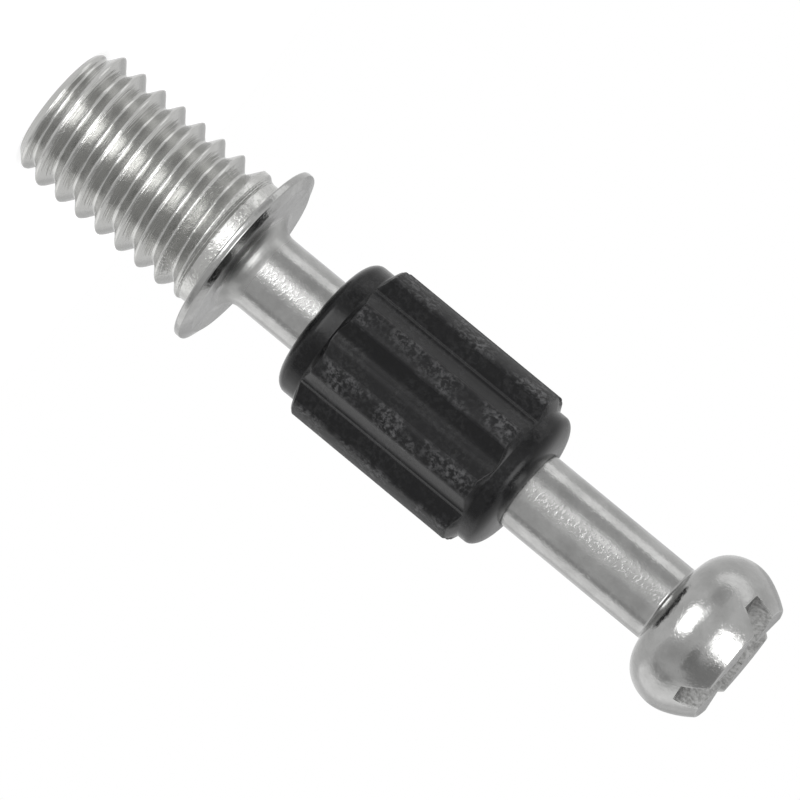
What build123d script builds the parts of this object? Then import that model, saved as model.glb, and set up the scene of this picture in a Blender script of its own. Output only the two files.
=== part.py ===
from build123d import *
import math
import os

# Cam dowel: a steel bolt, headed, turned and thread-rolled in one piece, with a sleeve moulded
# round its shank. The axis is Z: the threaded tip stands on z = 0 and the ball head is on top.
# Sizes are in millimetres and degrees.

# Screw end, an M6 thread that goes into the side panel or into a threaded insert
screw_length = 9.1
thread_crest_radius = 3.0
thread_pitch = 1.0
thread_depth = 0.61
thread_root_flat = 0.15
thread_flank_angle = 30.0
thread_turn = 72.0
tip_chamfer = 0.6
runout_length = 0.6
neck_radius = 2.81
neck_length = 0.7
neck_taper_length = 0.3

# Collar that stops the screw at the panel's face
collar_radius = 4.0
collar_thickness = 0.5
collar_edge_bevel = 0.1
seat_clearance = 0.03
collar_foot_width = 0.85
collar_foot_height = 0.75

# Smooth shank
shank_radius = 1.67
shank_below_sleeve = 3.64
shank_above_sleeve = 7.0

# Shallow groove round the shank, which the sleeve's inside fills and so stays in its place
groove_depth = 0.2
groove_length = 2.0
groove_flank_length = 0.2

# Sleeve: a tube with rounded ends and eight lengthwise ribs, from a mould whose two halves part
# sideways. Four inner ribs lie by the plane in which the halves move, and four outer ones by the
# plane where they meet. The outer ribs are wide, so that they draw out of the mould.
sleeve_radius = 3.06
sleeve_length = 10.24
sleeve_fit = 0.02
lower_round_width = 0.85
lower_round_height = 0.58
upper_round_width = 1.25
upper_round_height = 0.62
rib_tip_radius = 3.53
inner_rib_width = 0.78
inner_rib_offset = 1.29
outer_rib_width = 1.35
outer_rib_offset = 1.18
rib_start = 1.12
rib_length = 8.12
rib_end_slope = 0.22
mould_turn = 272.5
valley_rise = 0.02
valley_round = 0.3

# Ball head, whose side is three arcs that run into each other
head_radius = 3.355
head_front_height = 1.74
head_middle_arc = 1.92
head_front_arc = 4.03
head_back_turn = 29.3
head_front_turn = 21.0
head_foot_bevel = 0.12
head_rim_round = 0.1

# Cross recess, whose four wings break out through the side of the head
wing_depth = 0.9
wing_floor_width = 0.85
wing_mouth_width = 1.35
pit_depth = 2.3
pit_mouth_radius = 0.95
pit_floor_radius = 0.45
recess_turn = 48.1

# Heights along the axis, and the arc of the head's back, which ends square to the axis
neck_start_z = screw_length - neck_length
seat_inner_radius = thread_crest_radius + seat_clearance
seat_bevel = seat_inner_radius - neck_radius
collar_top_z = screw_length + collar_thickness
sleeve_bottom_z = collar_top_z + shank_below_sleeve
sleeve_top_z = sleeve_bottom_z + sleeve_length
groove_middle_z = (sleeve_bottom_z + sleeve_top_z) / 2
head_foot_radius = shank_radius + head_foot_bevel
middle_arc_centre_radius = head_radius - head_middle_arc
back_arc_shift = (head_foot_radius - middle_arc_centre_radius) / math.cos(math.radians(head_back_turn))
head_back_arc = head_middle_arc - back_arc_shift
head_back_z = sleeve_top_z + shank_above_sleeve
head_middle_z = head_back_z + head_back_arc + back_arc_shift * math.sin(math.radians(head_back_turn))
head_end_z = head_middle_z + head_front_height

thread_root_radius = thread_crest_radius - thread_depth
tip_radius = thread_crest_radius - tip_chamfer


def polar_point(centre, radius, degrees):
    """The point at an angle from the first axis, on a circle round the centre."""
    turn = math.radians(degrees)
    return (centre[0] + radius * math.cos(turn), centre[1] + radius * math.sin(turn))


def arc(centre, radius, start_degrees, end_degrees):
    """The arc round the centre between two angles."""
    middle_degrees = (start_degrees + end_degrees) / 2
    return ThreePointArc(
        polar_point(centre, radius, start_degrees),
        polar_point(centre, radius, middle_degrees),
        polar_point(centre, radius, end_degrees),
    )


def turned(outline):
    """The closed outline of radius and height, turned once round the axis."""
    return revolve(Plane.XZ * outline, Axis.Z)


def shank_points(gap):
    """Corners of the shank's groove, lowest first, with the outline moved outwards by a gap."""
    outer = shank_radius + gap
    inner = outer - groove_depth
    half = groove_length / 2
    return [
        (outer, groove_middle_z - half - groove_flank_length),
        (inner, groove_middle_z - half),
        (inner, groove_middle_z + half),
        (outer, groove_middle_z + half + groove_flank_length),
    ]


def bolt_outline():
    """The bolt before its thread and its recess: tip, neck, collar, shank and ball head."""
    screw = Polyline(
        (0, 0),
        (tip_radius, 0),
        (thread_crest_radius, tip_chamfer),
        (thread_crest_radius, neck_start_z - neck_taper_length),
        (neck_radius, neck_start_z),
        (neck_radius, screw_length - seat_bevel),
        (seat_inner_radius, screw_length),
        (collar_radius - collar_edge_bevel, screw_length),
        (collar_radius, screw_length + collar_edge_bevel),
        (collar_radius, collar_top_z - collar_edge_bevel),
        (collar_radius - collar_edge_bevel, collar_top_z),
        (shank_radius + collar_foot_width, collar_top_z),
    )
    foot_centre = (shank_radius + collar_foot_width, collar_top_z + collar_foot_height)
    foot = EllipticalCenterArc(
        foot_centre, collar_foot_width, collar_foot_height, start_angle=180, arc_size=90
    )
    shank = Polyline(
        (shank_radius, foot_centre[1]),
        *shank_points(0),
        (shank_radius, head_back_z - head_foot_bevel),
        (head_foot_radius, head_back_z),
    )
    middle = (middle_arc_centre_radius, head_middle_z)
    back = polar_point(middle, back_arc_shift, -head_back_turn)
    front = polar_point(middle, head_middle_arc - head_front_arc, head_front_turn)
    end_turn = math.degrees(math.asin((head_end_z - front[1]) / head_front_arc))
    head_rim = polar_point(front, head_front_arc, end_turn)
    outline = make_face(
        [
            screw,
            foot,
            shank,
            arc(back, head_back_arc, -90, -head_back_turn),
            arc(middle, head_middle_arc, -head_back_turn, head_front_turn),
            arc(front, head_front_arc, head_front_turn, end_turn),
            Polyline(head_rim, (0, head_end_z), (0, 0)),
        ]
    )
    rim_corner = outline.vertices().sort_by_distance((*head_rim, 0))[0]
    return fillet(rim_corner, head_rim_round)


def groove_section(z):
    """The thread's groove in section at a height, a little wider than the ridge it leaves."""
    slope = math.tan(math.radians(thread_flank_angle))
    root_half = thread_root_flat / 2
    ridge_half = (thread_pitch - thread_root_flat) / 2 - thread_depth * slope
    beyond = ridge_half / (2 * slope)
    mouth_half = root_half + (thread_depth + beyond) * slope
    mouth = thread_crest_radius + beyond
    corners = Polyline(
        (thread_root_radius, z - root_half),
        (mouth, z - mouth_half),
        (mouth, z + mouth_half),
        (thread_root_radius, z + root_half),
        close=True,
    )
    return Plane.XZ * make_face(corners)


def cut_thread(blank):
    """The blank with its right-hand thread: a full groove, then one that runs out into the neck."""
    start_z = -thread_pitch
    full_length = neck_start_z - runout_length - start_z
    full_path = Helix(thread_pitch, full_length, thread_root_radius, center=(0, 0, start_z))
    full = sweep(groove_section(start_z), path=full_path, is_frenet=True)

    runout_z = start_z + full_length
    opening_angle = math.degrees(math.atan(thread_depth / runout_length))
    runout_path = Helix(
        thread_pitch,
        runout_length,
        thread_root_radius,
        center=(0, 0, runout_z),
        cone_angle=opening_angle,
    )
    runout = sweep(groove_section(runout_z), path=runout_path, is_frenet=True)
    turns = full_length / thread_pitch
    return blank - Rot(0, 0, thread_turn) * full - Rot(0, 0, thread_turn + 360 * turns) * runout


def cross_recess():
    """The recess as a cutting tool: two crossed tapered slots and a tapered pit in the middle."""
    floor_z = head_end_z - wing_depth
    above_z = head_end_z + wing_depth
    above_width = 2 * wing_mouth_width - wing_floor_width
    reach = 3 * head_radius
    slot = loft(
        [
            Plane.XY.offset(floor_z) * Rectangle(reach, wing_floor_width),
            Plane.XY.offset(above_z) * Rectangle(reach, above_width),
        ]
    )
    pit = Pos(0, 0, head_end_z - pit_depth / 2) * Cone(pit_floor_radius, pit_mouth_radius, pit_depth)
    return Rot(0, 0, recess_turn) * (slot + Rot(0, 0, 90) * slot + pit)


def make_bolt():
    return cut_thread(turned(bolt_outline())) - cross_recess()


def sleeve_body():
    """The sleeve's tube before its ribs, still solid, with both ends rounded."""
    lower = (sleeve_radius - lower_round_width, sleeve_bottom_z + lower_round_height)
    upper = (sleeve_radius - upper_round_width, sleeve_top_z - upper_round_height)
    outline = [
        Line((0, sleeve_bottom_z), (lower[0], sleeve_bottom_z)),
        EllipticalCenterArc(lower, lower_round_width, lower_round_height, start_angle=270, arc_size=90),
        Line((sleeve_radius, lower[1]), (sleeve_radius, upper[1])),
        EllipticalCenterArc(upper, upper_round_width, upper_round_height, start_angle=0, arc_size=90),
        Polyline((upper[0], sleeve_top_z), (0, sleeve_top_z), (0, sleeve_bottom_z)),
    ]
    return turned(make_face(outline))


def rib_places():
    """Turn and width of each rib, in order round the sleeve from the way that one mould half moves."""
    inner_turn = math.degrees(math.asin(inner_rib_offset / rib_tip_radius))
    outer_turn = math.degrees(math.acos(outer_rib_offset / rib_tip_radius))
    quarter = [(inner_turn, inner_rib_width), (outer_turn, outer_rib_width)]
    half = quarter + [(180 - turn, width) for turn, width in reversed(quarter)]
    return half + [(180 + turn, width) for turn, width in half]


def rib_section():
    """The ribs in section: a star whose points are cut off later, with rounded valleys."""
    places = rib_places()
    valley_step = 360 / len(places)
    valley_radius = sleeve_radius + valley_rise
    overshoot = 0.3
    corners = []
    for i, (turn, width) in enumerate(places):
        half_turn = math.degrees(math.asin(width / 2 / rib_tip_radius))
        for side in (0, 1):
            valley = Vector(polar_point((0, 0), valley_radius, (i + side) * valley_step))
            edge = Vector(polar_point((0, 0), rib_tip_radius, turn + (2 * side - 1) * half_turn))
            corners.append(edge + (edge - valley) * overshoot)
        corners.append(valley)
    rounds = [0, 0, valley_round] * len(places)
    return make_face(FilletPolyline(*corners, radius=rounds, close=True))


def sleeve_ribs():
    """The ribs on a solid core, with their tops on one cylinder and their ends sloped."""
    bottom_z = sleeve_bottom_z + rib_start
    top_z = bottom_z + rib_length
    envelope = Polyline(
        (0, bottom_z),
        (sleeve_radius, bottom_z),
        (rib_tip_radius, bottom_z + rib_end_slope),
        (rib_tip_radius, top_z - rib_end_slope),
        (sleeve_radius, top_z),
        (0, top_z),
        close=True,
    )
    star = Pos(0, 0, bottom_z) * extrude(rib_section(), rib_length)
    return Rot(0, 0, mould_turn) * (star & turned(make_face(envelope)))


def shank_space():
    """The room that the sleeve leaves for the shank and its groove."""
    below_z = sleeve_bottom_z - sleeve_length
    above_z = sleeve_top_z + sleeve_length
    bore = shank_radius + sleeve_fit
    outline = Polyline(
        (0, below_z), (bore, below_z), *shank_points(sleeve_fit), (bore, above_z), (0, above_z), close=True
    )
    return turned(make_face(outline))


def make_sleeve():
    return sleeve_body() + sleeve_ribs() - shank_space()


os.makedirs("parts", exist_ok=True)
export_step(make_bolt(), "parts/dowel_bolt.step")
export_step(make_sleeve(), "parts/ribbed_sleeve.step")
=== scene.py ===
import math

import bmesh
import bpy
from bpy.props import FloatProperty, FloatVectorProperty, PointerProperty
from mathutils import Matrix, Vector


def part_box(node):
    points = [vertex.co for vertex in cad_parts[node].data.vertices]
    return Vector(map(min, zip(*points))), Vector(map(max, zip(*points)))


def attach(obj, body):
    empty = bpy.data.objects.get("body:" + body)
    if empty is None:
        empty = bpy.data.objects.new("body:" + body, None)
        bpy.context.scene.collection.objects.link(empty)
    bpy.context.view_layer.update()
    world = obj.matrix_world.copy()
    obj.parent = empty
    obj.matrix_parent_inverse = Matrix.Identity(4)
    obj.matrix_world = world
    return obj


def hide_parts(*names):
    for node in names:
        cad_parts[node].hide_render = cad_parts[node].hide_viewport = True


bl_info = {
    "name": "Cam Dowel",
    "version": (1, 0, 0),
    "blender": (4, 5, 0),
    "location": "3D View > Sidebar > Cam Dowel",
    "description": "Builds a plated steel cam dowel with its moulded sleeve, and the studio round it",
    "category": "Add Mesh",
}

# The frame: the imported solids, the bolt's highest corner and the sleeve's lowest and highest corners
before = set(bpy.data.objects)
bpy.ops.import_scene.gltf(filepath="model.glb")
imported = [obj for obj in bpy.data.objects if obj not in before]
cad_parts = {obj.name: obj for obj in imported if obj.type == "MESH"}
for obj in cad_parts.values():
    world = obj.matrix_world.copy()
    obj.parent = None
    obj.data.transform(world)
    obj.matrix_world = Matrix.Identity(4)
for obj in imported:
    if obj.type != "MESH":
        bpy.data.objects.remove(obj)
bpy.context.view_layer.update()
BOLT_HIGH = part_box("dowel_bolt")[1]
SLEEVE_LOW, SLEEVE_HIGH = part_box("ribbed_sleeve")

MM = 0.001
FULL_TURN = 2 * math.pi

# Columns across the floor of a wing, columns from one wing to the next, rows in one turn of the
# thread, rows down the recess's tapered middle, and columns round the sleeve, 32 for each rib
FLOOR_STEPS = 8
SIDE_STEPS = 40
THREAD_ROWS = 26
PIT_ROWS = 6
SLEEVE_COLUMNS = 8 * 32
# A straight run longer than the first of these gets a point at the second from each of its ends, so
# that its shading stays straight. The third does the same beside the ends of the ribs
LONG_RUN = 0.18 * MM
RUN_MARGIN = 0.03 * MM
RIB_MARGIN = 0.05 * MM
# How far the run-out lifts the groove's floor, in depths of the thread. Past 1 it is over the crests
RUNOUT_LIMIT = 1.6
# The most of a rib's rise that the rounding at its ends takes, the part of the rise in the first
# step up from the plain end, and the angle in radians at which the rounding leaves the slope
ROUND_SHARE = 0.45
FOOT_SHARE = 0.02
ROUND_START = 0.35
# Puts a rib's wall that a direction never meets far away, so that nothing is divided by zero
LEAST_SLOPE = 1e-3


def srgb(colour):
    """Linear red, green and blue, with alpha 1, of an sRGB hex colour such as 8A8A88."""
    linear = []
    for i in (0, 2, 4):
        part = int(colour[i : i + 2], 16) / 255
        linear.append(part / 12.92 if part <= 0.04045 else ((part + 0.055) / 1.055) ** 2.4)
    return (*linear, 1.0)


def length(name, description, default):
    """A size in metres that the panel shows."""
    return FloatProperty(
        name=name, description=description, default=default, min=0.0, subtype="DISTANCE", unit="LENGTH"
    )


def turn(name, description, degrees):
    """An angle that the panel shows."""
    return FloatProperty(
        name=name, description=description, default=math.radians(degrees), subtype="ANGLE", unit="ROTATION"
    )


def colour(name, description, default):
    """A colour that the panel shows, kept linear."""
    return FloatVectorProperty(
        name=name, description=description, default=srgb(default), size=4, min=0.0, max=1.0, subtype="COLOR"
    )


class DowelBoltSettings(bpy.types.PropertyGroup):
    """Sizes and colours of the steel bolt."""

    screw_length: length("Screw length", "Tip to the collar's seat", 9.1 * MM)
    crest_radius: length("Crest radius", "Radius over the thread's crests", 3.0 * MM)
    pitch: length("Pitch", "Rise of the thread in one turn", 1.0 * MM)
    thread_depth: length("Thread depth", "Crest to root", 0.57 * MM)
    root_round: length("Root round", "How far the thread's root is rounded out", 0.09 * MM)
    flank_turn: turn("Flank turn", "Angle between the thread's flanks and square to the axis", 36.0)
    thread_turn: turn("Thread turn", "Turn of the thread about the axis", 72.0)
    crest_round: length("Crest round", "How far the crest's edges are rounded over", 0.18 * MM)
    tip_chamfer: length("Tip chamfer", "Chamfer of the screw's tip", 0.6 * MM)
    tip_margin: length("Tip margin", "Width of the soft edge of the tip's flat end", 0.08 * MM)
    runout: length("Run-out", "Height in which the thread fades", 0.6 * MM)
    neck_radius: length("Neck radius", "Radius between the thread and the collar", 2.81 * MM)
    neck_length: length("Neck length", "Height of the neck", 0.7 * MM)
    neck_taper: length("Neck taper", "Height in which the crests' radius falls to the neck's", 0.3 * MM)
    collar_radius: length("Collar radius", "Radius of the stop collar", BOLT_HIGH[0])
    collar_thickness: length("Collar thickness", "Thickness of the stop collar", 0.5 * MM)
    collar_round: length("Collar round", "Rounding of the collar's edge at its seat", 0.1 * MM)
    bevel_width: length("Bevel width", "Radial size of the bevel round the collar's upper face", 0.42 * MM)
    bevel_height: length("Bevel height", "Axial size of that bevel", 0.19 * MM)
    foot_width: length("Foot width", "Radial size of the curve from collar to shank", 0.85 * MM)
    foot_height: length("Foot height", "Axial size of the curve from collar to shank", 0.75 * MM)
    shank_radius: length("Shank radius", "Radius of the smooth shank", 1.67 * MM)
    groove_depth: length("Groove depth", "Depth of the groove under the sleeve", 0.2 * MM)
    groove_length: length("Groove length", "Length of that groove's floor", 2.0 * MM)
    groove_flank: length("Groove flank", "Length of each of its sloped ends", 0.2 * MM)
    head_radius: length("Head radius", "Largest radius of the ball head", 3.355 * MM)
    head_front: length("Head front", "Widest place of the head to its end", 1.74 * MM)
    middle_arc: length("Middle arc", "Radius of the arc round the head's widest place", 1.92 * MM)
    front_arc: length("Front arc", "Radius of the arc towards the head's end", 4.03 * MM)
    back_turn: turn("Back turn", "Where the middle arc meets the back arc", 29.3)
    front_turn: turn("Front turn", "Where the middle arc meets the front arc", 21.0)
    head_foot: length("Head foot", "Bevel between the shank and the head", 0.12 * MM)
    rim_round: length("Rim round", "Rounding of the head's end", 0.1 * MM)
    wing_depth: length("Wing depth", "Depth of the cross recess's wings", 0.9 * MM)
    wing_floor: length("Wing floor", "Width of a wing at its floor", 0.85 * MM)
    wing_mouth: length("Wing mouth", "Width of a wing at the head's end", 1.35 * MM)
    pit_depth: length("Pit depth", "Depth of the recess's tapered middle", 2.3 * MM)
    pit_mouth: length("Pit mouth", "Radius of the tapered middle at the head's end", 0.95 * MM)
    pit_floor: length("Pit floor", "Radius of the tapered middle at its floor", 0.45 * MM)
    pit_tip: length("Pit tip", "Height of the cone that ends the tapered middle", 0.2 * MM)
    recess_turn: turn("Recess turn", "Turn of the cross recess about the axis", 48.1)
    recess_round: length("Recess round", "Rounding of the recess's edges", 0.05 * MM)
    plating: colour("Plating", "Zinc plating where it is brightest", "A4A4A3")
    plating_shade: colour("Plating shade", "Zinc plating where it is duller", "929291")
    thread_plating: colour("Thread plating", "Duller zinc on the rolled thread", "B4B4B2")
    # Painted shade: the dark colour laid over the recess and the head's end, in pitted speckles
    recess_painted_shade: colour("Recess painted shade", "Zinc in the pits of the pressed recess", "6C6C6B")


class RibbedSleeveSettings(bpy.types.PropertyGroup):
    """Sizes and colours of the moulded sleeve."""

    radius: length("Radius", "Radius of the sleeve's plain ends", 3.06 * MM)
    bore_radius: length("Bore radius", "Radius of the hole that the shank fills", 1.69 * MM)
    groove_depth: length("Ridge depth", "Height of the ridge that fills the shank's groove", 0.2 * MM)
    groove_length: length("Ridge length", "Length of that ridge's top", 2.0 * MM)
    groove_flank: length("Ridge flank", "Length of each of its sloped ends", 0.2 * MM)
    lower_width: length("Lower round width", "Radial size of the lower rounding", 0.85 * MM)
    lower_height: length("Lower round height", "Axial size of the lower rounding", 0.58 * MM)
    upper_width: length("Upper round width", "Radial size of the upper rounding", 1.25 * MM)
    upper_height: length("Upper round height", "Axial size of the upper rounding", 0.62 * MM)
    rib_radius: length("Rib radius", "Radius over the ribs", 3.53 * MM)
    inner_rib_width: length("Inner rib width", "Width of the crowns by the mould's draw plane", 0.78 * MM)
    inner_rib_offset: length("Inner rib offset", "Those crowns' distance from the draw plane", 1.29 * MM)
    outer_rib_width: length("Outer rib width", "Width of the crowns by the mould's parting", 1.35 * MM)
    outer_rib_offset: length("Outer rib offset", "Those crowns' distance from the parting", 1.18 * MM)
    rib_start: length("Rib start", "Sleeve's lower end to the ribs", 1.12 * MM)
    rib_length: length("Rib length", "Length of the ribs", 8.12 * MM)
    rib_end: length("Rib end", "Slope of the ribs' ends", 0.22 * MM)
    rib_round: length("Rib round", "Rounding of the ribs' crowns", 0.07 * MM)
    end_round: length("End round", "Rounding of the crowns at the ribs' ends", 0.112 * MM)
    valley_rise: length("Valley rise", "Valleys' height over the plain ends", 0.02 * MM)
    valley_round: length("Valley round", "Depth over which the valleys are rounded", 0.18 * MM)
    mould_turn: turn("Mould turn", "Turn of the mould's draw plane about the axis", 272.5)
    nylon: colour("Nylon", "Colour of the moulded nylon", "111112")
    nylon_scuff: colour("Nylon scuff", "Colour of the scuffed rib crowns", "4E4E4F")


class StudioSettings(bpy.types.PropertyGroup):
    """The view of the photograph and its studio."""

    distance: length("Distance", "Camera to the dowel's axis", 357 * MM)
    height_turn: turn("Height", "Camera's angle above square to the axis", 8.5)
    roll: turn("Roll", "How far the axis falls to the right in the picture", 39.55)
    view_width: length("View width", "Width that the picture takes in at the axis", 30.53 * MM)
    aim_height: length("Aim height", "Height on the axis at the picture's middle", 17.48 * MM)
    aim_side: length("Aim side", "How far the picture's middle lies beside the axis", 0.472 * MM)
    floor_radius: length("Floor radius", "Radius of the pale floor", 30 * MM)
    floor_gap: length("Floor gap", "How far the floor lies under the screw's tip", 0.02 * MM)
    floor_colour: colour("Floor", "Colour of the floor and the backdrop", "FFFFFF")
    floor_shade: colour("Floor shade", "Colour of the paper as it takes light and shadow", "B3B3B3")


def arc(centre, radius, start, end, steps):
    """Points of radius and height on an arc between two angles."""
    points = []
    for i in range(steps + 1):
        angle = start + (end - start) * i / steps
        points.append((centre[0] + radius[0] * math.cos(angle), centre[1] + radius[1] * math.sin(angle)))
    return points


def blend_low(a, b, size):
    """The lower of two values, rounded over where they cross."""
    share = min(max(0.5 + 0.5 * (b - a) / size, 0.0), 1.0)
    return b + (a - b) * share - size * share * (1 - share)


def supported(points):
    """The points of an outline with one more close to both ends of each long straight run."""
    result = [points[0]]
    for before, after in zip(points, points[1:]):
        run = math.dist(before, after)
        if run > LONG_RUN:
            for share in (RUN_MARGIN / run, 1 - RUN_MARGIN / run):
                result.append(tuple(p + (q - p) * share for p, q in zip(before, after)))
        result.append(after)
    return result


class Shell:
    """A closed surface made of rings that share their columns."""

    def __init__(self, columns):
        self.mesh = bmesh.new()
        self.columns = columns
        self.sharp = self.mesh.edges.layers.float.new("bevel_weight_edge")

    def point(self, radius, angle, height):
        return self.mesh.verts.new((radius * math.cos(angle), radius * math.sin(angle), height))

    def ring(self, radius, height, angles):
        return [self.point(radius, angle, height) for angle in angles]

    def face(self, corners):
        kept = [v for i, v in enumerate(corners) if v is not corners[i - 1]]
        if len(set(kept)) > 2:
            self.mesh.faces.new(kept)

    def band(self, lower, upper):
        """Quads between two rings, the lower one first."""
        for j in range(self.columns):
            k = (j + 1) % self.columns
            self.face((lower[j], lower[k], upper[k], upper[j]))

    def cap(self, ring, height, up):
        """A fan that closes a ring with one point on the axis."""
        middle = self.mesh.verts.new((0, 0, height))
        for j in range(len(ring)):
            k = (j + 1) % len(ring)
            self.face((ring[j], ring[k], middle) if up else (ring[k], ring[j], middle))

    def crease(self, a, b):
        """Marks an edge that is rounded over later."""
        edge = self.mesh.edges.get((a, b))
        if edge:
            edge[self.sharp] = 1.0

    def to_object(self, name, turn_angle=0.0):
        mesh = bpy.data.meshes.new(name)
        bmesh.ops.rotate(self.mesh, verts=self.mesh.verts, matrix=Matrix.Rotation(turn_angle, 3, "Z"))
        self.mesh.normal_update()
        self.mesh.to_mesh(mesh)
        self.mesh.free()
        mesh.shade_smooth()
        piece = bpy.data.objects.new(name, mesh)
        bpy.context.scene.collection.objects.link(piece)
        return piece


class HeadOutline:
    """The ball head's three arcs and the slope of the recess's walls."""

    def __init__(self, s):
        self.end = BOLT_HIGH[2]
        self.middle = (s.head_radius - s.middle_arc, self.end - s.head_front)
        foot = s.shank_radius + s.head_foot
        self.back_shift = (foot - self.middle[0]) / math.cos(s.back_turn)
        self.back = (foot, self.middle[1] - self.back_shift * math.sin(s.back_turn))
        self.back_arc = s.middle_arc - self.back_shift
        reach = s.middle_arc - s.front_arc
        self.front = (
            self.middle[0] + reach * math.cos(s.front_turn),
            self.middle[1] + reach * math.sin(s.front_turn),
        )
        self.floor = self.end - s.wing_depth
        self.floor_turn = math.asin((self.floor - self.front[1]) / s.front_arc)
        self.floor_radius = self.front[0] + s.front_arc * math.cos(self.floor_turn)
        self.wall_slope = (s.wing_mouth - s.wing_floor) / 2 / s.wing_depth

    def rim(self, s):
        """Points from the break-out height up the front arc, round the rim and inwards to the pit."""
        inner = s.front_arc - s.rim_round
        centre_height = self.end - s.rim_round
        rim_turn = math.asin((centre_height - self.front[1]) / inner)
        centre = (self.front[0] + inner * math.cos(rim_turn), centre_height)
        front_arc = arc(self.front, (s.front_arc, s.front_arc), self.floor_turn, rim_turn, 9)
        rim = arc(centre, (s.rim_round, s.rim_round), rim_turn, math.pi / 2, 4)
        flat = [(centre[0] + (s.pit_mouth - centre[0]) * i / 10, self.end) for i in range(1, 11)]
        return front_arc + rim[1:] + flat

    def half_width(self, s, height):
        """Half the width of a wing at a height."""
        return s.wing_floor / 2 + self.wall_slope * (height - self.floor)


def wing_columns(half_turn):
    """Angles of one ring, with the four wings' edges on columns."""
    angles = []
    for wing in range(4):
        start = wing * math.pi / 2
        for i in range(FLOOR_STEPS):
            angles.append(start - half_turn + 2 * half_turn * i / FLOOR_STEPS)
        for i in range(SIDE_STEPS):
            angles.append(start + half_turn + (math.pi / 2 - 2 * half_turn) * i / SIDE_STEPS)
    return angles


def thread_radius(s, height, angle):
    """Radius of the threaded end: the chamfered and necked blank, less the right-hand groove."""
    neck_start = s.screw_length - s.neck_length
    taper = (neck_start - height) / s.neck_taper
    blank = s.neck_radius + (s.crest_radius - s.neck_radius) * min(max(taper, 0.0), 1.0)
    blank = min(blank, s.crest_radius - s.tip_chamfer + height)
    along = height - s.pitch * (angle - s.thread_turn) / FULL_TURN
    offset = (along / s.pitch + 0.5) % 1.0 - 0.5
    groove_height = height - offset * s.pitch
    fade = min(max((groove_height - neck_start) / s.runout + 1, 0.0), RUNOUT_LIMIT)
    flank = (math.hypot(offset * s.pitch, s.root_round) - s.root_round) / math.tan(s.flank_turn)
    groove = s.crest_radius - s.thread_depth * (1 - fade) + flank
    return blend_low(blank, groove, s.crest_round)


def groove_points(s, radius):
    """Corners of the groove in the middle of the sleeve, lowest first, from the radius beside it."""
    middle = (SLEEVE_LOW[2] + SLEEVE_HIGH[2]) / 2
    half = s.groove_length / 2
    inner = radius - s.groove_depth
    low = (radius, middle - half - s.groove_flank)
    high = (radius, middle + half + s.groove_flank)
    return [low, (inner, middle - half), (inner, middle + half), high]


def screw_outline(s):
    """The turned outline above the thread: neck, collar, foot and shank, up to the head's foot."""
    top = s.screw_length + s.collar_thickness
    r = s.collar_round
    outline = [(s.neck_radius, s.screw_length)]
    outline += arc((s.collar_radius - r, s.screw_length + r), (r, r), -math.pi / 2, 0, 5)
    # Each edge of the bevel is softened with a second point
    soft = s.bevel_height / 4
    inner = s.collar_radius - s.bevel_width
    outline += [(s.collar_radius, top - s.bevel_height - soft)]
    outline += [(s.collar_radius - soft / 2, top - s.bevel_height)]
    outline += [(inner, top - soft), (inner - 2 * soft, top)]
    foot_centre = (s.shank_radius + s.foot_width, top + s.foot_height)
    outline += arc(foot_centre, (s.foot_width, s.foot_height), -math.pi / 2, -math.pi, 12)
    return outline + groove_points(s, s.shank_radius)


def build_bolt(s):
    """The bolt's mesh: helical rows for the thread, turned rows above, and the recessed head."""
    head = HeadOutline(s)
    half_turn = math.asin(s.wing_floor / 2 / head.floor_radius)
    angles = wing_columns(half_turn)
    angles = [a - angles[0] for a in angles]
    columns = len(angles)
    shell = Shell(columns)
    start = s.recess_turn - half_turn

    top = s.screw_length - s.neck_length
    tip_radius = s.crest_radius - s.tip_chamfer
    low = shell.ring(tip_radius, 0.0, angles)
    # A ring close inside the edge keeps the flat end flat in the shading
    inner = shell.ring(tip_radius - s.tip_margin, 0.0, angles)
    shell.band(inner, low)
    shell.cap(inner, 0.0, up=False)
    first = -THREAD_ROWS
    last = math.ceil(top / s.pitch * THREAD_ROWS)
    rows = {}
    high = [shell.point(thread_radius(s, top, a + start), a, top) for a in angles]
    for i in range(first, last + 1):
        row = []
        for j, angle in enumerate(angles):
            height = s.pitch * (i / THREAD_ROWS + angle / FULL_TURN)
            if height <= 0.0:
                row.append(low[j])
            elif height >= top:
                row.append(high[j])
            else:
                row.append(shell.point(thread_radius(s, height, angle + start), angle, height))
        rows[i] = row
    for i in range(first, last):
        for j in range(columns):
            k = (j + 1) % columns
            wrap = THREAD_ROWS if k == 0 else 0
            a = rows[i][j]
            b = rows.get(i + wrap, [high[0]])[k]
            c = rows.get(i + 1 + wrap, [high[0]])[k]
            shell.face((a, b, c, rows[i + 1][j]))

    shank_end = (s.shank_radius, head.back[1] - head.back_arc - s.head_foot)
    turned = supported([(s.neck_radius, top), *screw_outline(s), shank_end])
    turned += arc(head.back, (head.back_arc, head.back_arc), -math.pi / 2, -s.back_turn, 10)
    turned += arc(head.middle, (s.middle_arc, s.middle_arc), -s.back_turn, s.front_turn, 22)[1:]
    turned += arc(head.front, (s.front_arc, s.front_arc), s.front_turn, head.floor_turn, 1)[1:]
    previous = high
    for radius, height in turned[1:]:
        ring = shell.ring(radius, height, angles)
        shell.band(previous, ring)
        previous = ring
    recess(shell, s, head, previous, half_turn)
    return shell.to_object("plated_bolt", start)


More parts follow.
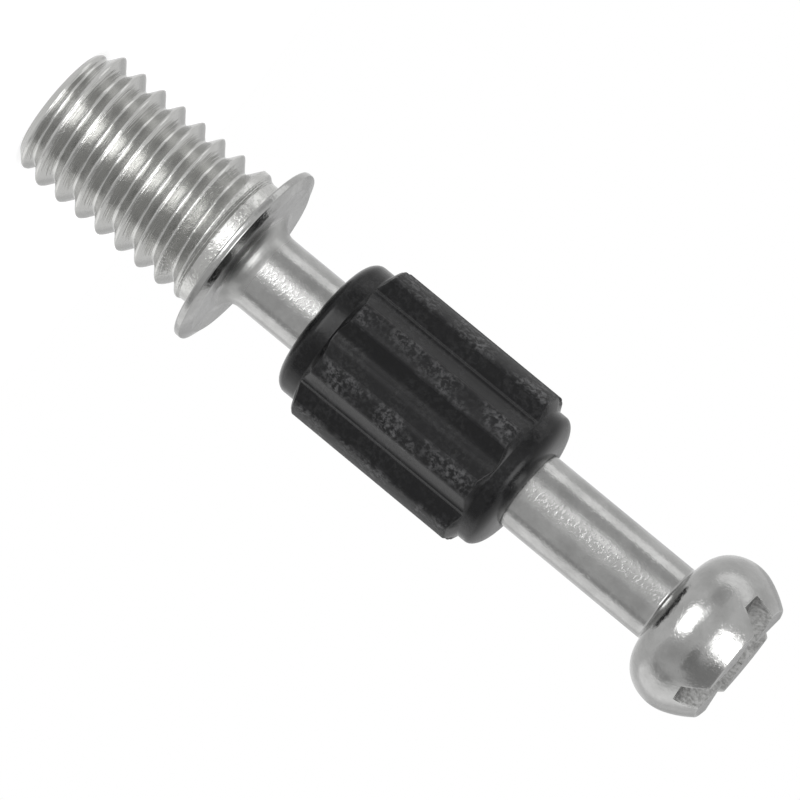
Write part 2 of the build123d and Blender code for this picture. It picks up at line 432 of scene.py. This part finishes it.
def recess(shell, s, head, ring, half_turn):
    """The head above the recess's floor: four segments between the wings, the wings and the pit."""
    mouths = head.rim(s)
    pit_ring_radius = s.pit_mouth + (s.pit_floor - s.pit_mouth) * s.wing_depth / s.pit_depth
    pit_half = math.asin(s.wing_floor / 2 / pit_ring_radius)
    pit_angles = [a + half_turn for a in wing_columns(pit_half)]
    pit_ring = shell.ring(pit_ring_radius, head.floor, pit_angles)
    period = FLOOR_STEPS + SIDE_STEPS
    side_rows = {}
    for wing in range(4):
        base = wing * math.pi / 2 + half_turn
        first = wing * period + FLOOR_STEPS
        side = [[ring[(first + i) % len(ring)] for i in range(SIDE_STEPS + 1)]]
        for radius, height in mouths[1:]:
            edge = math.asin(head.half_width(s, height) / radius)
            span = math.pi / 2 - 2 * edge
            side_angles = [base + edge + span * i / SIDE_STEPS for i in range(SIDE_STEPS + 1)]
            side.append(shell.ring(radius, height, side_angles))
        side.append([pit_ring[(first + i) % len(pit_ring)] for i in range(SIDE_STEPS + 1)])
        for lower, upper in zip(side, side[1:]):
            for i in range(SIDE_STEPS):
                shell.face((lower[i], lower[i + 1], upper[i + 1], upper[i]))
        for i in range(SIDE_STEPS):
            shell.crease(side[-2][i], side[-2][i + 1])
        side_rows[wing] = side
    for wing in range(4):
        base = wing * math.pi / 2 + half_turn
        left = side_rows[(wing - 1) % 4]
        right = side_rows[wing]
        first = wing * period
        floor = [[ring[first + i] for i in range(FLOOR_STEPS + 1)]]
        for radius, height in mouths[1:-1]:
            reach = math.sqrt(radius**2 - head.half_width(s, height) ** 2)
            row = []
            for i in range(FLOOR_STEPS + 1):
                across = s.wing_floor * (i / FLOOR_STEPS - 0.5)
                angle = base + math.atan2(across, reach)
                row.append(shell.point(math.hypot(reach, across), angle, head.floor))
            floor.append(row)
        floor.append([pit_ring[first + i] for i in range(FLOOR_STEPS + 1)])
        for outer, inner in zip(floor, floor[1:]):
            for i in range(FLOOR_STEPS):
                shell.face((outer[i], outer[i + 1], inner[i + 1], inner[i]))
        for n in range(len(floor) - 1):
            shell.face((left[n][-1], floor[n][0], floor[n + 1][0], left[n + 1][-1]))
            shell.face((floor[n][-1], right[n][0], right[n + 1][0], floor[n + 1][-1]))
            for a, b in (
                (left[n][-1], left[n + 1][-1]),
                (right[n][0], right[n + 1][0]),
                (floor[n][0], floor[n + 1][0]),
                (floor[n][-1], floor[n + 1][-1]),
            ):
                shell.crease(a, b)
        for i in range(FLOOR_STEPS):
            shell.crease(floor[0][i], floor[0][i + 1])
        shell.crease(left[-2][-1], left[-1][-1])
        shell.crease(right[-2][0], right[-1][0])
    previous = pit_ring
    pit_end = head.end - s.pit_depth
    for n in range(1, PIT_ROWS + 1):
        share = n / PIT_ROWS
        radius = pit_ring_radius + (s.pit_floor - pit_ring_radius) * share
        height = head.floor + (pit_end - head.floor) * share
        lower = shell.ring(radius, height, pit_angles)
        shell.band(previous, lower)
        previous = lower
    shell.cap(previous, pit_end - s.pit_tip, up=True)


def rib_places(s):
    """Middle and half width, both as angles, of each rib round the sleeve from the mould's draw plane."""
    inner = math.asin(s.inner_rib_offset / s.rib_radius)
    outer = math.acos(s.outer_rib_offset / s.rib_radius)
    quarter = [(inner, s.inner_rib_width), (outer, s.outer_rib_width)]
    half = quarter + [(math.pi - middle, width) for middle, width in reversed(quarter)]
    ribs = half + [(math.pi + middle, width) for middle, width in half]
    return [(middle, math.asin(width / 2 / s.rib_radius)) for middle, width in ribs]


def wall_radius(s, ribs, n, side, angle):
    """Radius at an angle of a rib's straight wall, from its crown's edge down to the valley beside it."""
    middle, half = ribs[n % len(ribs)]
    edge_turn = middle + (2 * side - 1) * half
    valley_turn = (n % len(ribs) + side) * FULL_TURN / len(ribs)
    edge = s.rib_radius * Vector((math.cos(edge_turn), math.sin(edge_turn)))
    valley = (s.radius + s.valley_rise) * Vector((math.cos(valley_turn), math.sin(valley_turn)))
    normal = (valley - edge).orthogonal()
    outward = math.copysign(1, normal.dot(edge)) * normal
    facing_wall = outward.dot((math.cos(angle), math.sin(angle)))
    return outward.dot(edge) / max(facing_wall, LEAST_SLOPE * outward.length)


def star_radius(s, ribs, angle):
    """Radius of the ribbed section at an angle: round-edged crowns, straight walls, rounded valleys."""
    n = int(angle / FULL_TURN * len(ribs))
    own = blend_low(wall_radius(s, ribs, n, 0, angle), wall_radius(s, ribs, n, 1, angle), s.rib_round)
    beside = max(wall_radius(s, ribs, n - 1, 1, angle), wall_radius(s, ribs, n + 1, 0, angle))
    walls = -blend_low(-own, -beside, s.valley_round)
    return blend_low(s.rib_radius, walls, s.rib_round)


def sleeve_rows(s, star, low, high):
    """One column of the sleeve, from the bore's lower edge round the outside and down the bore."""
    bottom = low + s.rib_start
    top = bottom + s.rib_length
    rise = star - s.radius
    slope = s.rib_end * rise / (s.rib_radius - s.radius)
    rounding = min(s.end_round, rise * ROUND_SHARE)
    crown = star - rounding
    # The lower end of a rib, as radius and height above its foot. The upper end mirrors it
    rib_end = [(s.radius, -RIB_MARGIN), (s.radius + rise * FOOT_SHARE, 0.0)]
    rib_end += [(crown, slope * (1 - rounding / rise))]
    rib_end += arc((crown, slope + rounding), (rounding, rounding), ROUND_START - math.pi / 2, 0, 5)
    rib_end += [(star, slope + rounding + RIB_MARGIN)]
    lower_round = (s.lower_width, s.lower_height)
    upper_round = (s.upper_width, s.upper_height)
    column = [(s.bore_radius, low)]
    column += arc((s.radius - s.lower_width, low + s.lower_height), lower_round, -math.pi / 2, 0, 10)
    column += [(radius, bottom + height) for radius, height in rib_end]
    column += [(radius, top - height) for radius, height in reversed(rib_end)]
    column += arc((s.radius - s.upper_width, high - s.upper_height), upper_round, 0, math.pi / 2, 12)
    column += [(s.bore_radius, high)] + groove_points(s, s.bore_radius)[::-1]
    return column


def build_sleeve(s):
    """The sleeve's mesh: rings whose radius follows the ribbed section, and the bore with its ridge."""
    angles = [FULL_TURN * j / SLEEVE_COLUMNS for j in range(SLEEVE_COLUMNS)]
    shell = Shell(SLEEVE_COLUMNS)
    ribs = rib_places(s)
    sides = [sleeve_rows(s, star_radius(s, ribs, a), SLEEVE_LOW[2], SLEEVE_HIGH[2]) for a in angles]
    rings = []
    for level in zip(*sides):
        rings.append([shell.point(radius, a, height) for (radius, height), a in zip(level, angles)])
    for lower, upper in zip(rings, rings[1:]):
        shell.band(lower, upper)
    shell.band(rings[-1], rings[0])
    return shell.to_object("moulded_sleeve", s.mould_turn)


def round_recess(piece, width):
    """Rounds the marked edges and keeps the result as the piece's mesh."""
    bevel = piece.modifiers.new("round", "BEVEL")
    bevel.width = width
    bevel.segments = 3
    bevel.limit_method = "WEIGHT"
    graph = bpy.context.evaluated_depsgraph_get()
    rounded = bpy.data.meshes.new_from_object(piece.evaluated_get(graph))
    piece.modifiers.clear()
    piece.data = rounded


def new_material(name):
    """An empty material and the function that adds a node to it."""
    material = bpy.data.materials.new(name)
    material.use_nodes = True
    material.node_tree.nodes.clear()
    return material, node_adder(material.node_tree)


def node_adder(tree):
    """A function that adds one node to the tree, with its settings and what its inputs take."""

    def add(kind, settings=None, **inputs):
        """An input is named in words, or by n and its number. A node gives it its first output."""
        node = tree.nodes.new(kind)
        for key, value in (settings or {}).items():
            setattr(node, key, value)
        for key, value in inputs.items():
            numbered = key[0] == "n" and key[1:].isdigit()
            socket = node.inputs[int(key[1:]) if numbered else key.replace("_", " ")]
            if isinstance(value, bpy.types.Node):
                value = value.outputs[0]
            if isinstance(value, bpy.types.NodeSocket):
                tree.links.new(value, socket)
            else:
                socket.default_value = value
        return node

    return add


# Sizes of the marks on the plating and on the nylon. Turning marks, the plating's bumps, the pressed
# recess's pits and the mould's grain are finer than the picture can show at 26 pixels to a millimetre,
# so they are drawn coarser than they are
TURNING_MARK = 0.12 * MM
PLATING_BUMP = 0.15 * MM
PLATING_CLOUD = 1.3 * MM
RECESS_PIT = 0.16 * MM
SCUFF_MARK = 0.2 * MM
RUBBED_PATCH = 1.6 * MM
MOULD_GRAIN = 0.06 * MM
# Heights over which the thread's finish goes over into the collar's, and the foot's into the shank's
SEAT_BLEND = 0.05 * MM
FOOT_BLEND = 0.2 * MM
# How far above the collar's face the foot's finish starts, and the height in which it sets in
FOOT_START = 0.02 * MM
FOOT_SET_IN = 0.1 * MM
# Where the torn part of the thread starts below the collar, and the height in which it sets in
TORN_LENGTH = 2.6 * MM
TORN_BLEND = 0.8 * MM
# The pressed finish, duller and darkened with painted shade: how deep inside the ball's surface it
# starts and is full, how far below the wings' floor it starts, the height in which it sets in there,
# and how far round the pit it fades
PRESSED_START = 0.04 * MM
PRESSED_FULL = 0.14 * MM
WING_START = 0.04 * MM
WING_SET_IN = 0.02 * MM
PIT_FADE = 0.2 * MM
# How far below the crowns handling starts to rub the nylon, and where it rubs as much as on them
RUB_START = 0.1 * MM
RUB_FULL = 0.01 * MM


def round_the_axis(add, place):
    """A point's distance from the dowel's axis, and its height."""
    apart = add("ShaderNodeSeparateXYZ", n0=place).outputs
    across = add("ShaderNodeCombineXYZ", n0=apart[0], n1=apart[1])
    radius = add("ShaderNodeVectorMath", {"operation": "LENGTH"}, n0=across)
    return radius.outputs["Value"], apart[2]


def pressed_share(add, s, radius, height):
    """1 in the pressed recess and on the head's end, and 0 on the side of the ball."""
    head = HeadOutline(s)
    above_front = add("ShaderNodeMath", {"operation": "SUBTRACT"}, n0=height, n1=head.front[1])
    share = add("ShaderNodeMath", {"operation": "DIVIDE"}, n0=above_front, n1=s.front_arc)
    arc_turn = add("ShaderNodeMath", {"operation": "ARCSINE"}, n0=share)
    reach = add("ShaderNodeMath", {"operation": "COSINE"}, n0=arc_turn)
    ball = add(
        "ShaderNodeMath", {"operation": "MULTIPLY_ADD"}, n0=reach, n1=s.front_arc, n2=head.front[0]
    )
    inside = add("ShaderNodeMath", {"operation": "SUBTRACT"}, n0=ball, n1=radius)
    pressed = add("ShaderNodeMapRange", Value=inside, From_Min=PRESSED_START, From_Max=PRESSED_FULL)
    wing_start = head.floor - WING_START
    in_wings = add(
        "ShaderNodeMapRange", Value=height, From_Min=wing_start, From_Max=wing_start + WING_SET_IN
    )
    in_pit = add(
        "ShaderNodeMapRange",
        Value=radius,
        From_Min=s.pit_mouth,
        From_Max=s.pit_mouth + PIT_FADE,
        To_Min=1.0,
        To_Max=0.0,
    )
    either = add("ShaderNodeMath", {"operation": "MAXIMUM"}, n0=in_wings, n1=in_pit)
    return add("ShaderNodeMath", {"operation": "MULTIPLY"}, n0=either, n1=pressed)


def plated_steel(s):
    """Bright zinc plating on steel that was cold headed, turned and thread rolled."""
    # It gives a soft mirror in cloudy patches, with faint rings on the shank and the head, stronger
    # ones on the collar, its foot and the screw, a paler and slightly duller thread, and a duller
    # recess and head's end, darkened with painted shade in pitted speckles
    material, add = new_material("bright_zinc_plated_steel")
    place = add("ShaderNodeTexCoord").outputs["Object"]
    radius, height = round_the_axis(add, place)
    collar_top = s.screw_length + s.collar_thickness
    foot_top = collar_top + s.foot_height
    screw = add(
        "ShaderNodeMapRange",
        Value=height,
        From_Min=s.screw_length - SEAT_BLEND,
        From_Max=s.screw_length + SEAT_BLEND,
        To_Min=1.0,
        To_Max=0.0,
    )
    below_shank = add(
        "ShaderNodeMapRange",
        Value=height,
        From_Min=foot_top - FOOT_BLEND,
        From_Max=foot_top + FOOT_BLEND,
        To_Min=1.0,
        To_Max=0.0,
    )
    in_recess = pressed_share(add, s, radius, height)

    # The tint: cloudy patches, a paler thread, and painted shade in pitted speckles over the recess and the
    # head's end
    clouds = add("ShaderNodeTexNoise", Vector=place, Scale=1 / PLATING_CLOUD, Detail=4.0, Roughness=0.6)
    shade = add("ShaderNodeMapRange", Value=clouds, From_Min=0.35, From_Max=0.65)
    turned = add("ShaderNodeMix", {"data_type": "RGBA"}, n0=shade, n6=s.plating, n7=s.plating_shade)
    rolled = add(
        "ShaderNodeMix", {"data_type": "RGBA"}, n0=screw, n6=turned.outputs[2], n7=s.thread_plating
    )
    # Painted shade: the recess and the head's end are mixed towards a dark colour, broken up by pits
    pitting = add("ShaderNodeTexNoise", Vector=place, Scale=1 / RECESS_PIT, Detail=3.0, Roughness=0.6)
    pits = add("ShaderNodeMapRange", Value=pitting, From_Min=0.35, From_Max=0.6, To_Min=1.0, To_Max=0.35)
    painted_recess_shade = add("ShaderNodeMath", {"operation": "MULTIPLY"}, n0=in_recess, n1=pits)
    tint = add(
        "ShaderNodeMix", {"data_type": "RGBA"}, n0=painted_recess_shade, n6=rolled.outputs[2], n7=s.recess_painted_shade
    )

    # The polish varies with the patches. The collar's foot, the recess and the thread are duller
    dull = add("ShaderNodeMapRange", Value=clouds, From_Min=0.3, From_Max=0.7, To_Min=0.13, To_Max=0.22)
    foot_start = collar_top + FOOT_START
    above_collar = add(
        "ShaderNodeMapRange", Value=height, From_Min=foot_start, From_Max=foot_start + FOOT_SET_IN
    )
    foot = add("ShaderNodeMath", {"operation": "MULTIPLY"}, n0=above_collar, n1=below_shank)
    for part, more in ((foot, 0.2), (in_recess, 0.12), (screw, 0.04)):
        dull = add("ShaderNodeMath", {"operation": "MULTIPLY_ADD"}, n0=part, n1=more, n2=dull)

    # Turned rings, and bumps in the plating that are larger where the rolling dies tore the thread
    ring_place = add("ShaderNodeCombineXYZ", n0=radius, n1=0.0, n2=height)
    rings = add(
        "ShaderNodeTexNoise", Vector=ring_place, Scale=1 / TURNING_MARK, Detail=2.0, Roughness=0.6
    )
    ring_strength = add("ShaderNodeMapRange", Value=below_shank, To_Min=0.1, To_Max=0.7)
    ring_depth = add("ShaderNodeMapRange", Value=screw, To_Min=0.012 * MM, To_Max=0.04 * MM)
    ring_bump = add("ShaderNodeBump", Height=rings, Strength=ring_strength, Distance=ring_depth)
    torn_start = s.screw_length - TORN_LENGTH
    above_start = add(
        "ShaderNodeMapRange", Value=height, From_Min=torn_start, From_Max=torn_start + TORN_BLEND
    )
    torn = add("ShaderNodeMath", {"operation": "MULTIPLY"}, n0=above_start, n1=screw)
    peel = add("ShaderNodeTexNoise", Vector=place, Scale=1 / PLATING_BUMP, Detail=3.0, Roughness=0.6)
    specks = add("ShaderNodeMapRange", Value=peel, From_Min=0.5, From_Max=0.66)
    speck_depth = add("ShaderNodeMapRange", Value=torn, To_Min=0.005 * MM, To_Max=0.02 * MM)
    bump = add("ShaderNodeBump", Height=specks, Strength=0.5, Distance=speck_depth, Normal=ring_bump)
    shader = add(
        "ShaderNodeBsdfPrincipled", Base_Color=tint.outputs[2], Metallic=1.0, Roughness=dull, Normal=bump
    )
    add("ShaderNodeOutputMaterial", Surface=shader)
    return material


def moulded_nylon(s):
    """Black nylon, injection moulded in a grained mould."""
    # It gives a semi-matt black with a fine grain. The crowns, which handling has rubbed, are rougher
    # and have grey patches, which are fainter in the valleys and on the plain ends
    material, add = new_material("injection_moulded_black_nylon")
    place = add("ShaderNodeTexCoord").outputs["Object"]
    radius, _ = round_the_axis(add, place)
    crown = add(
        "ShaderNodeMapRange",
        Value=radius,
        From_Min=s.rib_radius - RUB_START,
        From_Max=s.rib_radius - RUB_FULL,
    )
    specks = add(
        "ShaderNodeTexNoise", Vector=place, Scale=1 / SCUFF_MARK, Detail=5.0, Roughness=0.65, Distortion=0.3
    )
    marks = add("ShaderNodeMapRange", Value=specks, From_Min=0.45, From_Max=0.62)
    areas = add("ShaderNodeTexNoise", Vector=place, Scale=1 / RUBBED_PATCH, Detail=2.0, Roughness=0.5)
    rubbed = add("ShaderNodeMapRange", Value=areas, From_Min=0.4, From_Max=0.6, To_Min=0.12, To_Max=1.0)
    reached = add("ShaderNodeMapRange", Value=crown, To_Min=0.15, To_Max=1.0)
    scuff = add("ShaderNodeMath", {"operation": "MULTIPLY"}, n0=reached, n1=marks)
    scuff = add("ShaderNodeMath", {"operation": "MULTIPLY"}, n0=scuff, n1=rubbed)
    tint = add("ShaderNodeMix", {"data_type": "RGBA"}, n0=scuff, n6=s.nylon, n7=s.nylon_scuff)
    dull = add("ShaderNodeMapRange", Value=crown, To_Min=0.22, To_Max=0.5)
    grain = add("ShaderNodeTexNoise", Vector=place, Scale=1 / MOULD_GRAIN, Detail=2.0, Roughness=0.5)
    fine = add("ShaderNodeBump", Height=grain, Strength=0.2, Distance=0.01 * MM)
    bump = add("ShaderNodeBump", Height=scuff, Strength=0.7, Distance=0.02 * MM, Normal=fine)
    shader = add(
        "ShaderNodeBsdfPrincipled",
        Base_Color=tint.outputs[2],
        Roughness=dull,
        IOR=1.53,
        Specular_IOR_Level=0.17,
        Normal=bump,
    )
    add("ShaderNodeOutputMaterial", Surface=shader)
    return material


def dress(piece, material, node):
    """Gives the piece its material and lets it stand for a solid of the frame."""
    piece.data.materials.clear()
    piece.data.materials.append(material)
    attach(piece, "root")
    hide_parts(node)


class DOWEL_OT_build_bolt(bpy.types.Operator):
    """Build the plated steel bolt with its thread, collar, shank and recessed ball head"""

    bl_idname = "dowel.build_bolt"
    bl_label = "Build Plated Bolt"

    def execute(self, context):
        s = context.scene.dowel_bolt
        piece = build_bolt(s)
        round_recess(piece, s.recess_round)
        dress(piece, plated_steel(s), "dowel_bolt")
        return {"FINISHED"}


class DOWEL_OT_build_sleeve(bpy.types.Operator):
    """Build the black moulded sleeve with its ribs"""

    bl_idname = "dowel.build_sleeve"
    bl_label = "Build Ribbed Sleeve"

    def execute(self, context):
        s = context.scene.ribbed_sleeve
        piece = build_sleeve(s)
        dress(piece, moulded_nylon(s), "ribbed_sleeve")
        return {"FINISHED"}


def direction(side, height):
    """The unit direction at an angle to the left of the camera's side, and above the floor, in degrees."""
    side, height = math.radians(side), math.radians(height)
    return Vector((-math.sin(side) * math.cos(height), -math.cos(side) * math.cos(height), math.sin(height)))


def facing(place, target):
    """The turn that points a lamp or a card at a target."""
    return (target - place).to_track_quat("-Z", "Y").to_matrix().to_4x4()


# Lamps that light the floor and the nylon. Name, angle to the left of the camera and above the floor,
# width and height as angles, and radiance
LAMPS = (
    ("upper_lamp", 6, 40, (38, 56), 2.8),
    ("lower_lamp", 3, -30, (30, 44), 2.8),
    ("left_lamp", 104, 0, (30, 70), 1.4),
    ("right_lamp", -110, 0, (38, 70), 1.4),
)
# Panels that only reflections show, each nearer than the one before it: the same values, but the last
# is the brightness that they show, where white paper is 1
PANELS = (
    ("upper_softbox", 9, 60, (34, 46), 5.2),
    ("lower_softbox", 4, -28.5, (42, 37), 6.0),
    ("far_card", 180, 8, (70, 30), 0.66),
    ("left_softbox", 88, 0, (30, 80), 1.7),
    ("right_softbox", -112, 0, (42, 80), 1.55),
    ("left_card", 57, -8, (34, 34), 0.72),
    ("right_card", -56, 0, (60, 90), 0.78),
    ("right_edge_card", -81, -4, (15, 50), 0.55),
    ("upper_right_card", -63, 54, (44, 42), 0.45),
    ("right_dark_card", -40, 30, (38, 26), 0.4),
    ("strip_light", 22, -8, (24, 14), 1.9),
)
# Distance of the lamps and of the first panel from the dowel, in metres, how much nearer each panel
# is than the last, and the share of a panel in which its edge fades out
LAMP_DISTANCE = 0.3
PANEL_STEP = 0.01
SOFT_EDGE = 0.28
# Light that the paper gives off itself, and what the white surround gives as light, where 1 is white
PAPER_GLOW = 0.72
SURROUND_LIGHT = 0.55
# Width of the camera's sensor in millimetres, and the nearest and farthest that it sees in metres
SENSOR_WIDTH = 36.0
NEAREST = 0.01
FARTHEST = 10.0


def lamp(name, side, height, size, radiance, target):
    """A rectangular lamp at an angle round the dowel, which lights without showing in reflections."""
    light = bpy.data.lights.new(name, "AREA")
    light.shape = "RECTANGLE"
    light.size = 2 * LAMP_DISTANCE * math.tan(math.radians(size[0] / 2))
    light.size_y = 2 * LAMP_DISTANCE * math.tan(math.radians(size[1] / 2))
    light.energy = radiance * math.pi * light.size * light.size_y
    holder = bpy.data.objects.new(name, light)
    place = target + direction(side, height) * LAMP_DISTANCE
    holder.matrix_world = Matrix.Translation(place) @ facing(place, target)
    holder.visible_camera = False
    holder.visible_glossy = False
    bpy.context.scene.collection.objects.link(holder)


def glowing_cloth(name, level):
    """Evenly lit diffusing cloth, stretched flat."""
    # It gives an even patch of light that fades out towards its rounded edge. The distance from the
    # middle is a fourth root of fourth powers, which is between that of a square and of a circle
    material, add = new_material(f"lit_diffusing_cloth_{name}")
    place = add("ShaderNodeTexCoord").outputs["Generated"]
    away = add("ShaderNodeVectorMath", {"operation": "SUBTRACT"}, n0=place, n1=(0.5, 0.5, 0.5))
    squares = add("ShaderNodeVectorMath", {"operation": "MULTIPLY"}, n0=away, n1=away)
    apart = add("ShaderNodeSeparateXYZ", n0=squares).outputs
    across = add("ShaderNodeMath", {"operation": "POWER"}, n0=apart[0], n1=2.0)
    along = add("ShaderNodeMath", {"operation": "POWER"}, n0=apart[1], n1=2.0)
    total = add("ShaderNodeMath", {"operation": "ADD"}, n0=across, n1=along)
    distance = add("ShaderNodeMath", {"operation": "POWER"}, n0=total, n1=0.25)
    cover = add(
        "ShaderNodeMapRange",
        {"interpolation_type": "SMOOTHSTEP"},
        Value=distance,
        From_Min=0.5 * (1 - SOFT_EDGE),
        From_Max=0.5,
        To_Min=1.0,
        To_Max=0.0,
    )
    glow = add("ShaderNodeEmission", Color=srgb("FFFFFF"), Strength=level)
    clear = add("ShaderNodeBsdfTransparent")
    surface = add("ShaderNodeMixShader", n0=cover, n1=clear, n2=glow)
    add("ShaderNodeOutputMaterial", Surface=surface)
    return material


def panel(name, side, height, size, level, target, distance):
    """A panel of glowing cloth at an angle round the dowel, whose size is given in degrees."""
    half = [distance * math.tan(math.radians(part / 2)) for part in size]
    mesh = bpy.data.meshes.new(name)
    corners = [(-half[0], -half[1], 0), (half[0], -half[1], 0), (half[0], half[1], 0), (-half[0], half[1], 0)]
    mesh.from_pydata(corners, [], [(0, 1, 2, 3)])
    mesh.materials.append(glowing_cloth(name, level))
    holder = bpy.data.objects.new(name, mesh)
    place = target + direction(side, height) * distance
    holder.matrix_world = Matrix.Translation(place) @ facing(place, target)
    holder.visible_camera = False
    holder.visible_diffuse = False
    holder.visible_shadow = False
    bpy.context.scene.collection.objects.link(holder)


def looked_at(add):
    """1 for what the camera, a reflection or glass shows, and 0 for light on its way."""
    seen = add("ShaderNodeLightPath").outputs
    either = add(
        "ShaderNodeMath", {"operation": "MAXIMUM"}, n0=seen["Is Camera Ray"], n1=seen["Is Glossy Ray"]
    )
    return add("ShaderNodeMath", {"operation": "MAXIMUM"}, n0=either, n1=seen["Is Transmission Ray"])


def pale_paper(s):
    """White paper, uncoated and matt."""
    # It gives a plain white ground that keeps the dowel's shadow. From below the paper is clear, so
    # that the screw's tip can be looked at
    material, add = new_material("white_paper_sweep")
    paper = add("ShaderNodeBsdfDiffuse", Color=s.floor_shade)
    glow = add("ShaderNodeEmission", Color=s.floor_colour, Strength=PAPER_GLOW)
    both = add("ShaderNodeAddShader", n0=paper, n1=glow)
    sheet = add("ShaderNodeMixShader", n0=looked_at(add), n1=paper, n2=both)
    below = add("ShaderNodeNewGeometry").outputs["Backfacing"]
    clear = add("ShaderNodeBsdfTransparent")
    surface = add("ShaderNodeMixShader", n0=below, n1=sheet, n2=clear)
    add("ShaderNodeOutputMaterial", Surface=surface)
    return material


def build_floor(s):
    """A round pale floor, a hair below the screw's tip so that the two flat faces aren't one."""
    mesh = bpy.data.meshes.new("paper_floor")
    disc = bmesh.new()
    bmesh.ops.create_circle(disc, cap_ends=True, segments=96, radius=s.floor_radius)
    disc.to_mesh(mesh)
    disc.free()
    mesh.materials.append(pale_paper(s))
    floor = bpy.data.objects.new("paper_floor", mesh)
    floor.location.z = -s.floor_gap
    bpy.context.scene.collection.objects.link(floor)
    # The plating's reflections look past the floor, to the panels below it
    floor.visible_glossy = False


def build_world(s):
    """A plain surround: white to the camera and in the plating, softer as light."""
    world = bpy.data.worlds.new("white_surround")
    world.use_nodes = True
    world.node_tree.nodes.clear()
    add = node_adder(world.node_tree)
    level = add("ShaderNodeMapRange", Value=looked_at(add), To_Min=SURROUND_LIGHT, To_Max=1.0)
    glow = add("ShaderNodeBackground", Color=s.floor_colour, Strength=level)
    add("ShaderNodeOutputWorld", Surface=glow)
    bpy.context.scene.world = world


def build_camera(s):
    """The photograph's view: a long lens, a little above square to the axis, rolled."""
    up = math.sin(s.height_turn)
    out = math.cos(s.height_turn)
    back = Vector((0.0, -out, up))
    along = Vector((0.0, up, out))
    side = Vector((1.0, 0.0, 0.0))
    right = -math.sin(s.roll) * side + math.cos(s.roll) * along
    above = -math.cos(s.roll) * side - math.sin(s.roll) * along
    aim = Vector((s.aim_side, 0.0, s.aim_height))
    lens = bpy.data.cameras.new("photo_view")
    lens.sensor_width = SENSOR_WIDTH
    lens.lens = SENSOR_WIDTH * s.distance / s.view_width
    lens.clip_start = NEAREST
    lens.clip_end = FARTHEST
    camera = bpy.data.objects.new("photo_view", lens)
    place = aim + back * s.distance
    camera.matrix_world = Matrix(
        (
            (right.x, above.x, back.x, place.x),
            (right.y, above.y, back.y, place.y),
            (right.z, above.z, back.z, place.z),
            (0.0, 0.0, 0.0, 1.0),
        )
    )
    bpy.context.scene.collection.objects.link(camera)
    bpy.context.scene.camera = camera


class DOWEL_OT_build_studio(bpy.types.Operator):
    """Build the floor, the lamps, the cards, the white surround and the photograph's camera"""

    bl_idname = "dowel.build_studio"
    bl_label = "Build Studio"

    def execute(self, context):
        s = context.scene.studio
        middle = Vector((0.0, 0.0, s.aim_height))
        build_floor(s)
        build_world(s)
        for lamp_values in LAMPS:
            lamp(*lamp_values, middle)
        for order, panel_values in enumerate(PANELS):
            panel(*panel_values, middle, LAMP_DISTANCE - order * PANEL_STEP)
        build_camera(s)
        context.scene.view_settings.view_transform = "Standard"
        return {"FINISHED"}


class DOWEL_PT_panel(bpy.types.Panel):
    """Lists the dowel's pieces and its studio"""

    bl_label = "Cam Dowel"
    bl_idname = "DOWEL_PT_panel"
    bl_space_type = "VIEW_3D"
    bl_region_type = "UI"
    bl_category = "Cam Dowel"

    def draw(self, context):
        for operator, group in (
            ("dowel.build_bolt", context.scene.dowel_bolt),
            ("dowel.build_sleeve", context.scene.ribbed_sleeve),
            ("dowel.build_studio", context.scene.studio),
        ):
            box = self.layout.box()
            box.operator(operator)
            for name in group.__annotations__:
                box.prop(group, name)


CLASSES = (
    DowelBoltSettings,
    RibbedSleeveSettings,
    StudioSettings,
    DOWEL_OT_build_bolt,
    DOWEL_OT_build_sleeve,
    DOWEL_OT_build_studio,
    DOWEL_PT_panel,
)


def register():
    for part in CLASSES:
        bpy.utils.register_class(part)
    bpy.types.Scene.dowel_bolt = PointerProperty(type=DowelBoltSettings)
    bpy.types.Scene.ribbed_sleeve = PointerProperty(type=RibbedSleeveSettings)
    bpy.types.Scene.studio = PointerProperty(type=StudioSettings)


def unregister():
    del bpy.types.Scene.studio
    del bpy.types.Scene.ribbed_sleeve
    del bpy.types.Scene.dowel_bolt
    for part in reversed(CLASSES):
        bpy.utils.unregister_class(part)


def main():
    register()
    bpy.ops.dowel.build_bolt()
    bpy.ops.dowel.build_sleeve()
    bpy.ops.dowel.build_studio()


if __name__ == "__main__":
    main()
